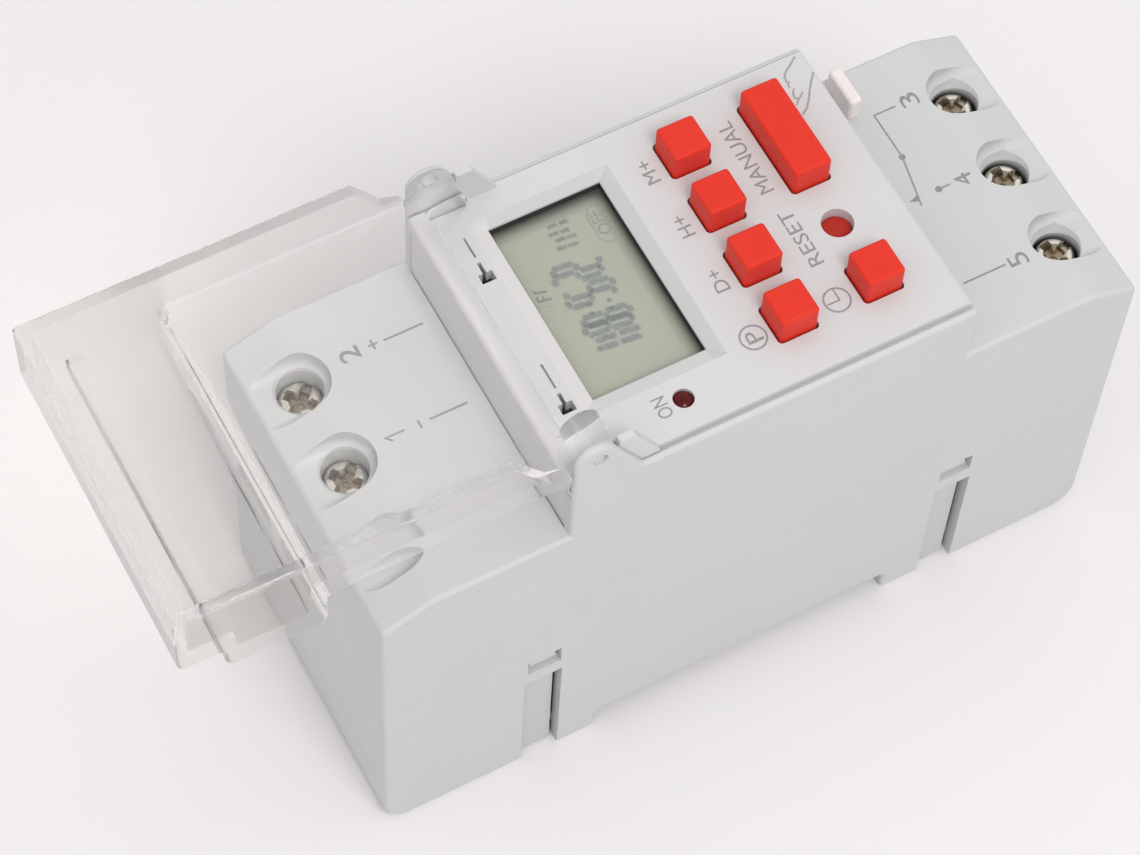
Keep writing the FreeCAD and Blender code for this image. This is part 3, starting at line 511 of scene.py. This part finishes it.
INK = mat_ink("legend_ink", (0.255, 0.249, 0.251))
INK_SIDE = mat_ink("legend_ink_pale", (0.245, 0.243, 0.245))
INK_HAND = mat_ink("legend_ink_thin", (0.300, 0.290, 0.290))
SEG_1 = mat_ink("lcd_soft_edge", (0.325, 0.340, 0.285), 0.35)
SEG_2 = mat_ink("lcd_half_tone", (0.268, 0.283, 0.252), 0.35)
SEG_3 = mat_ink("lcd_segment", (0.220, 0.234, 0.218), 0.35)
SEG_4 = mat_ink("lcd_overlap_edge", (0.190, 0.203, 0.190), 0.35)
SEG_5 = mat_ink("lcd_overlap", (0.160, 0.172, 0.162), 0.35)

slot_of = {}
rec = frame["record"]
for p in rec.get("subparts", rec.get("nodes", [])):
    if isinstance(p, dict) and "material_slot" in p:
        slot_of[p.get("node", p.get("name"))] = p["material_slot"]
if not slot_of and isinstance(rec.get("subparts"), dict):
    slot_of = {k: v["material_slot"] for k, v in rec["subparts"].items()}

for n, o in nodes.items():
    m = M[slot_of[n]]
    if not o.data.materials:
        o.data.materials.append(m)
    for i in range(len(o.material_slots)):
        o.material_slots[i].material = m


# ------------------------------------------------------------------ marks
def flat_mesh(name, polys, z0, z1, mat, body="root"):
    """A thin printed layer: each polygon (x, y in mm, counter-clockwise from above) becomes a prism from z0 to z1 (metres)."""
    bm = bmesh.new()
    top = z1
    for j, p in enumerate(polys):
        z1 = top + (j % 8) * 2.5e-7      # crossing strokes don't share a level
        a = sum(p[i][0] * p[(i + 1) % len(p)][1] - p[(i + 1) % len(p)][0] * p[i][1] for i in range(len(p)))
        if a < 0:
            p = p[::-1]
        lo = [bm.verts.new((x * MM, y * MM, z0)) for x, y in p]
        hi = [bm.verts.new((x * MM, y * MM, z1)) for x, y in p]
        bm.faces.new(hi)
        bm.faces.new(lo[::-1])
        k = len(p)
        for i in range(k):
            bm.faces.new((lo[i], lo[(i + 1) % k], hi[(i + 1) % k], hi[i]))
    me = bpy.data.meshes.new(name)
    bm.to_mesh(me)
    bm.free()
    me.materials.append(mat)
    o = bpy.data.objects.new(name, me)
    scene.collection.objects.link(o)
    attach(o, body)
    return o


def bar(a, b, w, cap=True):
    """A straight stroke from a to b with rounded ends."""
    a, b = Vector(a), Vector(b)
    t = (b - a).normalized()
    n = Vector((-t.y, t.x))
    out = []
    k = 6 if cap else 1
    ang = math.atan2(n.y, n.x)
    for i in range(k + 1):
        th = ang + math.pi * i / k
        out.append((a.x + math.cos(th) * w / 2, a.y + math.sin(th) * w / 2))
    for i in range(k + 1):
        th = ang + math.pi + math.pi * i / k
        out.append((b.x + math.cos(th) * w / 2, b.y + math.sin(th) * w / 2))
    return [out]


def path(pts, w):
    """A stroke along a line of points, one polygon a piece between mitred joints."""
    pts = [Vector(p) for p in pts]
    out = []
    left, right = [], []
    for i, p in enumerate(pts):
        t0 = (p - pts[i - 1]).normalized() if i else None
        t1 = (pts[i + 1] - p).normalized() if i + 1 < len(pts) else None
        t = ((t0 or t1) + (t1 or t0)).normalized()
        n = Vector((-t.y, t.x))
        s = 1.0
        if t0 and t1:
            s = 1 / max(0.5, n.dot(Vector((-t0.y, t0.x))))
        left.append(p + n * (w / 2 * s))
        right.append(p - n * (w / 2 * s))
    for i in range(len(pts) - 1):
        out.append([tuple(left[i]), tuple(right[i]), tuple(right[i + 1]), tuple(left[i + 1])])
    return out


def ring(cx, cy, rr, w, a0=0.0, a1=360.0, n=40):
    """A circular stroke of mean radius rr."""
    out = []
    for i in range(n):
        t0, t1 = math.radians(a0 + (a1 - a0) * i / n), math.radians(a0 + (a1 - a0) * (i + 1) / n)
        q = []
        for rad, t in ((rr + w / 2, t0), (rr + w / 2, t1), (rr - w / 2, t1), (rr - w / 2, t0)):
            q.append((cx + rad * math.cos(t), cy + rad * math.sin(t)))
        out.append(q)
    return out


def disc(cx, cy, rr, n=24):
    return [[(cx + rr * math.cos(2 * math.pi * i / n), cy + rr * math.sin(2 * math.pi * i / n)) for i in range(n)]]


def word(name, text, x_top, x_bottom, y0, y1, z, mat, body="root", weight=0.0, thick=0.00002, slant=0.0):
    """Lettering that reads towards +Y with its tops towards -X, fitted between the given edges (mm)."""
    cu = bpy.data.curves.new(name, "FONT")
    cu.body = text
    cu.size = 1.0
    cu.extrude = 0.01
    cu.offset = weight
    cu.resolution_u = 3
    tmp = bpy.data.objects.new(name + "_tmp", cu)
    scene.collection.objects.link(tmp)
    bpy.context.view_layer.update()
    dg = bpy.context.evaluated_depsgraph_get()
    me = bpy.data.meshes.new_from_object(tmp.evaluated_get(dg))
    bpy.data.objects.remove(tmp)
    xs = [v.co.x + slant * v.co.y for v in me.vertices]
    ys = [v.co.y for v in me.vertices]
    zs = [v.co.z for v in me.vertices]
    lx, hx, ly, hy, lz, hz = min(xs), max(xs), min(ys), max(ys), min(zs), max(zs)
    for v in me.vertices:
        u = (v.co.x + slant * v.co.y - lx) / (hx - lx)
        h = (v.co.y - ly) / (hy - ly)
        t = (v.co.z - lz) / (hz - lz)
        v.co = ((x_bottom + (x_top - x_bottom) * h) * MM, (y0 + (y1 - y0) * u) * MM, z - 0.00001 + t * (thick + 0.00001))
    bm = bmesh.new()
    bm.from_mesh(me)
    bmesh.ops.remove_doubles(bm, verts=bm.verts, dist=1e-8)
    bmesh.ops.recalc_face_normals(bm, faces=bm.faces)
    bm.to_mesh(me)
    bm.free()
    me.name = name
    me.materials.clear()
    me.materials.append(mat)
    o = bpy.data.objects.new(name, me)
    scene.collection.objects.link(o)
    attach(o, body)
    return o


Z_PANEL = lvl(56.4)
Z_SH = lvl(47.5)

# function legends on the panel
word("legend_M", "M+", 0.62, 2.08, 9.68, 12.60, Z_PANEL, INK)
word("legend_H", "H+", 0.62, 2.08, 2.57, 5.20, Z_PANEL, INK)
word("legend_D", "D+", 0.55, 2.05, -4.60, -1.92, Z_PANEL, INK)
word("legend_P", "P", 0.42, 2.12, -11.15, -9.80, Z_PANEL, INK)
word("legend_reset", "RESET", 10.33, 11.89, -6.17, 0.83, Z_PANEL, INK)
word("legend_manual", "MANUAL", 10.13, 11.70, 3.54, 12.94, Z_PANEL, INK)
word("legend_on", "ON", -11.40, -9.88, -14.62, -12.22, Z_PANEL, INK)
icon = ring(1.18, -10.54, 1.37, 0.19) + ring(10.71, -10.57, 1.37, 0.19)
icon += bar((9.62, -10.68), (10.95, -10.68), 0.17) + bar((10.95, -10.68), (10.95, -9.28), 0.17)
flat_mesh("legend_rings", icon, Z_PANEL - 0.00001, Z_PANEL + 0.00002, INK)
# a pressing hand beside the manual key: finger, knuckles and wrist lines
hand = path([(18.78, 10.14), (19.55, 10.64), (20.27, 11.50), (20.90, 12.42), (21.64, 13.36), (22.36, 14.16)], 0.21)
hand += path([(18.78, 11.40), (19.30, 11.93), (19.73, 12.22), (20.20, 12.56)], 0.17)
hand += path([(19.36, 11.98), (19.06, 12.32), (19.18, 12.86), (19.58, 13.34)], 0.17)
hand += path([(19.24, 13.62), (19.22, 13.95), (19.56, 14.30)], 0.17)
hand += path([(19.28, 14.22), (19.40, 15.00), (19.90, 15.55), (20.65, 16.02), (21.62, 16.72)], 0.20)
flat_mesh("legend_hand", hand, Z_PANEL - 0.00001, Z_PANEL + 0.00002, INK_HAND)

# right shoulder: terminal numbers and the changeover contact
word("mark_5", "5", 32.18, 34.33, -11.29, -9.78, Z_SH, INK_SIDE)
word("mark_4", "4", 32.40, 34.33, -0.29, 1.18, Z_SH, INK_SIDE)
word("mark_3", "3", 32.40, 34.44, 10.78, 12.40, Z_SH, INK_SIDE)
con = bar((26.80, -10.46), (31.70, -10.46), 0.20)
con += bar((30.60, 0.56), (31.75, 0.56), 0.20) + disc(30.42, 0.56, 0.38)
con += path([(31.73, 11.54), (29.12, 11.54), (29.10, 5.72), (27.80, -0.36)], 0.18)
con += disc(29.09, 5.72, 0.36)
con += [[(26.84, 0.56), (27.88, 0.20), (27.98, 0.92)]]
flat_mesh("mark_contact", con, Z_SH - 0.00001, Z_SH + 0.00002, INK_SIDE)

# left shoulder: supply terminals
flat_mesh("mark_1", path([(-33.35, -0.33), (-33.90, 0.24), (-31.78, 0.24)], 0.23), Z_SH - 0.00001, Z_SH + 0.00002, INK_SIDE)
word("mark_2", "2", -33.88, -31.68, 9.66, 11.28, Z_SH, INK_SIDE, weight=0.012)
sup = bar((-28.88, 0.18), (-24.85, 0.18), 0.24) + bar((-28.90, 10.40), (-24.63, 10.40), 0.24)
sup += bar((-30.14, -0.27), (-30.14, 0.52), 0.24)
sup += bar((-30.16, 9.97), (-30.16, 10.95), 0.24) + bar((-30.60, 10.46), (-29.72, 10.46), 0.24)
flat_mesh("mark_supply", sup, Z_SH - 0.00001, Z_SH + 0.00002, INK_SIDE)


# ------------------------------------------------------------------ display segments
Z_LCD = lvl(53.8)


def seven(text, x0, y0, w, h, t, pitch, slant):
    """Polygons of seven-segment figures. x0 is the top edge, y0 the left edge of the first figure at its foot (mm)."""
    table = {"1": "bc", "2": "abged", "5": "afgcd", "8": "abcdefg"}
    out = []

    def stroke(p_, q_):
        """A blunt six-sided bar from tip to tip."""
        p_, q_ = Vector(p_), Vector(q_)
        d_ = (q_ - p_).normalized()
        n_ = Vector((-d_.y, d_.x)) * (t / 2)
        e_ = d_ * (t * 0.30)
        return [p_, p_ + e_ - n_, q_ - e_ - n_, q_, q_ - e_ + n_, p_ + e_ + n_]

    g, r_, m_ = 0.07, t / 2, h / 2
    seg = {
        "a": stroke((r_ + g, h - r_), (w - r_ - g, h - r_)),
        "g": stroke((r_ + g, m_), (w - r_ - g, m_)),
        "d": stroke((r_ + g, r_), (w - r_ - g, r_)),
        "f": stroke((r_, m_ + g), (r_, h - r_ - g)),
        "b": stroke((w - r_, m_ + g), (w - r_, h - r_ - g)),
        "e": stroke((r_, r_ + g), (r_, m_ - g)),
        "c": stroke((w - r_, r_ + g), (w - r_, m_ - g)),
    }
    for k, ch in enumerate(text):
        for s_ in table[ch]:
            out.append([(x0 + h - q.y, y0 + k * pitch + q.x + slant * q.y) for q in seg[s_]])
    return out


def shift(polys, dx, dy):
    return [[(x + dx, y + dy) for x, y in p] for p in polys]


def signed(p):
    return sum(p[i][0] * p[(i + 1) % len(p)][1] - p[(i + 1) % len(p)][0] * p[i][1] for i in range(len(p))) / 2


def turned(p):
    return p if signed(p) > 0 else p[::-1]


def grow(polys, g):
    """Convex polygons pushed out by g on every side."""
    out = []
    for p in polys:
        p = turned(p)
        k = len(p)
        q = []
        for i in range(k):
            a_, b_, c_ = Vector(p[i - 1]), Vector(p[i]), Vector(p[(i + 1) % k])
            t0, t1 = (b_ - a_).normalized(), (c_ - b_).normalized()
            n0, n1 = Vector((t0.y, -t0.x)), Vector((t1.y, -t1.x))
            n = (n0 + n1).normalized()
            q.append(tuple(b_ + n * (g / max(0.6, n.dot(n0)))))
        out.append(q)
    return out


def common(p, q):
    """Overlap of two convex polygons."""
    p, q = turned(p), turned(q)
    out = list(p)
    for i in range(len(q)):
        a_, b_ = q[i], q[(i + 1) % len(q)]
        ex, ey = b_[0] - a_[0], b_[1] - a_[1]
        src, out = out, []
        for j in range(len(src)):
            s_, e_ = src[j - 1], src[j]
            ds = ex * (s_[1] - a_[1]) - ey * (s_[0] - a_[0])
            de = ex * (e_[1] - a_[1]) - ey * (e_[0] - a_[0])
            if (ds >= 0) != (de >= 0):
                t = ds / (ds - de)
                out.append((s_[0] + (e_[0] - s_[0]) * t, s_[1] + (e_[1] - s_[1]) * t))
            if de >= 0:
                out.append(e_)
        if len(out) < 3:
            return None
    clean = [out[i] for i in range(len(out)) if math.dist(out[i], out[i - 1]) > 0.01]
    return clean if len(clean) > 2 and signed(clean) > 0.004 else None


def overlaps(first, second):
    out = []
    for p in first:
        for q in second:
            c_ = common(p, q)
            if c_:
                out.append(c_)
    return out


# The figures stand twice: the dark segment, and its shadow on the reflector
# behind, which the slanting view sets down and to the right. Both have soft edges.
OFF_X, OFF_Y = 0.34, 0.95
big = seven("18", -12.70, -5.40, 1.74, 5.55, 0.66, 2.83, 0.10)
big += seven("52", -12.70, 1.00, 1.74, 5.55, 0.66, 2.83, 0.10)
big += disc(-10.83, 0.47, 0.24, 12) + disc(-8.80, 0.13, 0.24, 12)
small = seven("11", -10.62, 7.42, 1.15, 2.85, 0.42, 1.83, 0.10)
figures = big + small
shadow = shift(figures, OFF_X, OFF_Y)
for k_, (g_, m_) in enumerate(((0.15, SEG_1), (0.05, SEG_2), (-0.06, SEG_3))):
    z_ = Z_LCD + 0.000005 * (k_ + 1)
    flat_mesh("lcd_shadow_%d" % (k_ + 1), grow(shadow, g_), Z_LCD - 0.00001, z_, m_)
    flat_mesh("lcd_figures_%d" % (k_ + 1), grow(figures, g_), Z_LCD - 0.00001, z_ + 0.0000024, m_)
flat_mesh("lcd_overlap_1", overlaps(grow(figures, 0.05), grow(shadow, 0.05)), Z_LCD - 0.00001, Z_LCD + 0.000021, SEG_4)
flat_mesh("lcd_overlap_2", overlaps(grow(figures, -0.06), grow(shadow, -0.06)), Z_LCD - 0.00001, Z_LCD + 0.000024, SEG_5)
# the day, in plain strokes, and its shadow
day = bar((-14.85, 4.02), (-13.62, 3.82), 0.27) + bar((-14.85, 4.02), (-14.80, 4.52), 0.25) + bar((-14.28, 3.95), (-14.24, 4.34), 0.24)
day += bar((-14.72, 5.08), (-13.65, 4.78), 0.27) + bar((-14.60, 5.06), (-14.80, 5.32), 0.22)
flat_mesh("lcd_day_shadow", shift(day, -0.22, -0.80), Z_LCD - 0.00001, Z_LCD + 0.000005, SEG_1)
flat_mesh("lcd_day", day, Z_LCD - 0.00001, Z_LCD + 0.000010, SEG_3)
word("lcd_mode", "OFF", -5.66, -4.16, 7.98, 11.05, Z_LCD, SEG_2, weight=0.018, thick=0.000010)
pill = path([(-5.85, 8.0), (-5.85, 10.6)], 0.14) + path([(-3.90, 8.0), (-3.90, 10.6)], 0.14)
pill += ring(-4.875, 8.0, 0.975, 0.14, 180, 360, 16) + ring(-4.875, 10.6, 0.975, 0.14, 0, 180, 16)
flat_mesh("lcd_mode_ring", pill, Z_LCD - 0.00001, Z_LCD + 0.00001, SEG_2)


# ------------------------------------------------------------------ floor
bm = bmesh.new()
S, DIV = 1.6, 16
grid = [[bm.verts.new((-S + 2 * S * i / DIV, -S + 2 * S * j / DIV, lvl(0) - 0.00002)) for j in range(DIV + 1)] for i in range(DIV + 1)]
for i in range(DIV):
    for j in range(DIV):
        bm.faces.new((grid[i][j], grid[i + 1][j], grid[i + 1][j + 1], grid[i][j + 1]))
me = bpy.data.meshes.new("floor")
bm.to_mesh(me)
bm.free()
floor = bpy.data.objects.new("floor", me)
scene.collection.objects.link(floor)
mf, nt, b, tc = base("floor_white")
nz = noise(nt, tc, 6, 3, 0.5)
nt.links.new(ramp(nt, nz, [(0.3, (0.755, 0.736, 0.730)), (0.7, (0.765, 0.746, 0.740))]), b.inputs["Base Color"])
nt.links.new(remap(nt, nz, 0.8, 0.9), b.inputs["Roughness"])
b.inputs["Specular IOR Level"].default_value = 0.1
me.materials.append(mf)
